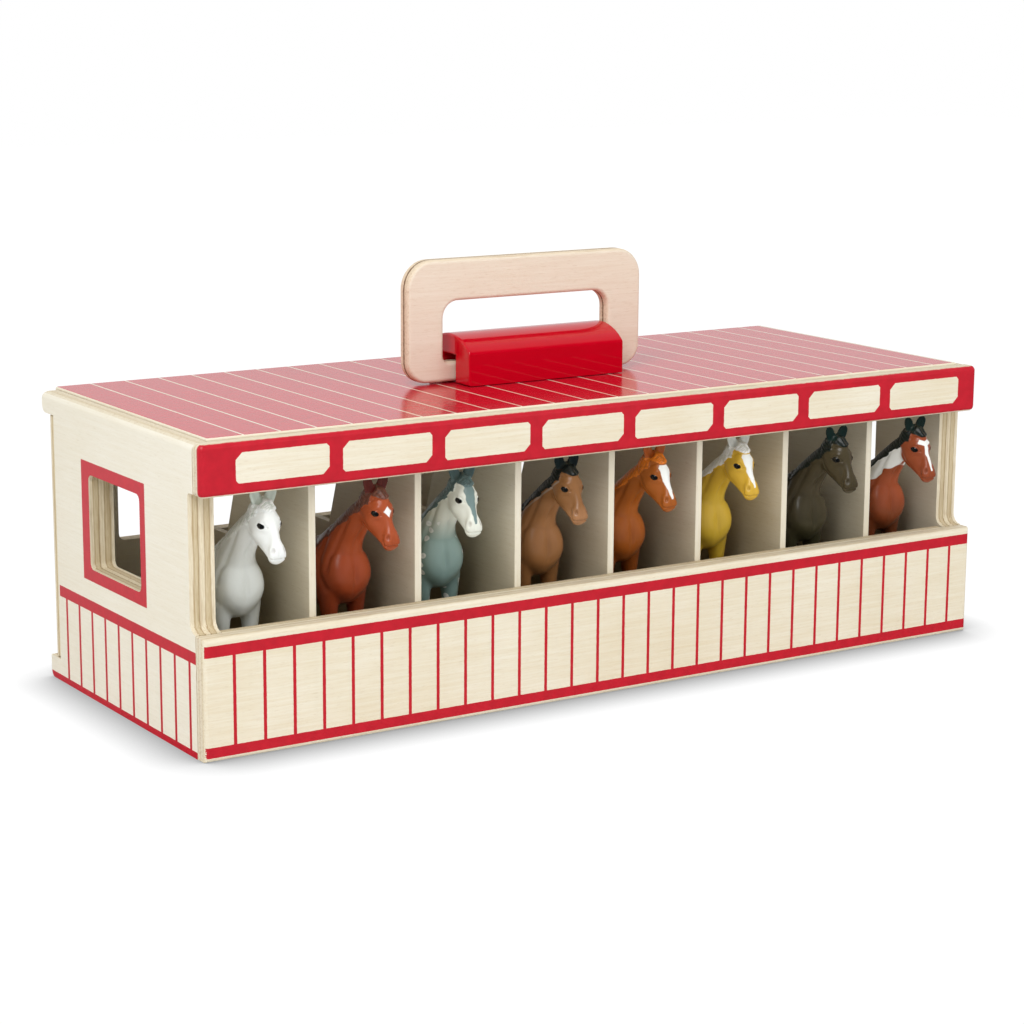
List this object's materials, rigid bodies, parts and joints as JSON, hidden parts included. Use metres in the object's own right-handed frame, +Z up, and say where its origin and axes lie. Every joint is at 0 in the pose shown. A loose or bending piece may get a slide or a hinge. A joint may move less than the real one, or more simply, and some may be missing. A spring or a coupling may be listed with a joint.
{
  "type": "toy stable",
  "caption": "Flat-roofed wooden toy stable with stalls, toy horses, swinging back doors and a carry handle that folds flat.",
  "frame": {"origin": "under the middle of the whole object, on the surface that it stands on", "axes": "+X along the box to the right when seen from the front, +Y from the open front to the doors, +Z up"},
  "size_m": [0.368, 0.1512, 0.1684],
  "materials": {
    "plywood": "satin clear-coated birch plywood, printed red bands on the front",
    "pale_plywood": "satin clear-coated birch plywood with printed red window frames, bands and stripes",
    "red_paint": "semi-gloss red paint on plywood with bare cream lines and plates",
    "red_gloss": "high-gloss red lacquer on solid wood",
    "handle_wood": "sanded bare plywood with rounded edges",
    "steel": "plated steel",
    "horse_1_coat": "glossy white moulded figure with soft grey shading",
    "horse_2_coat": "glossy red-brown moulded figure, dark brown mane, white diamond on the brow",
    "horse_3_coat": "glossy blue-grey dappled figure, pale head, slate mane",
    "horse_4_coat": "glossy tan-brown figure, dark green-black mane",
    "horse_5_coat": "glossy orange-brown figure, orange mane, white blaze",
    "horse_6_coat": "glossy golden yellow figure, white mane and blaze",
    "horse_7_coat": "glossy dark brown figure, dark green-black mane",
    "horse_8_coat": "glossy red-brown and white patched figure, dark mane, white blaze"
  },
  "bodies": {
    "stable": {"floor_board": "plywood", "left_end_panel": "pale_plywood", "right_end_panel": "pale_plywood", "front_panel": "plywood", "front_lining": "plywood", "fascia_board": "red_paint", "roof_board": "red_paint", "partition_1": "plywood", "partition_2": "plywood", "partition_3": "plywood", "partition_4": "plywood", "partition_5": "plywood", "partition_6": "plywood", "partition_7": "plywood", "rear_rail": "plywood", "left_hinge_pin_bottom": "steel", "left_hinge_pin_top": "steel", "right_hinge_pin_bottom": "steel", "right_hinge_pin_top": "steel", "left_catch_magnet": "steel", "right_catch_magnet": "steel", "block_screw_1": "steel", "block_screw_2": "steel", "block_screw_3": "steel", "block_screw_4": "steel", "handle_block": "red_gloss", "horse_1": "horse_1_coat", "horse_2": "horse_2_coat", "horse_3": "horse_3_coat", "horse_4": "horse_4_coat", "horse_5": "horse_5_coat", "horse_6": "horse_6_coat", "horse_7": "horse_7_coat", "horse_8": "horse_8_coat"},
    "left_door": {"left_door": "pale_plywood", "left_door_magnet": "steel"},
    "right_door": {"right_door": "pale_plywood", "right_door_magnet": "steel"},
    "handle": {"handle": "handle_wood"}
  },
  "joints": [
    {"name": "left_door_hinge", "type": "hinge", "parent": "stable", "child": "left_door", "pos_m": [-0.1806, 0.06805, 0.0588], "axis": [0, 0, 1], "range_deg": [0, 175]},
    {"name": "right_door_hinge", "type": "hinge", "parent": "stable", "child": "right_door", "pos_m": [0.1806, 0.06805, 0.0588], "axis": [0, 0, -1], "range_deg": [0, 175]},
    {"name": "handle_fold", "type": "hinge", "parent": "stable", "child": "handle", "pos_m": [-0.0017, 0.00505, 0.123], "axis": [1, 0, 0], "range_deg": [-90, 90]}
  ]
}
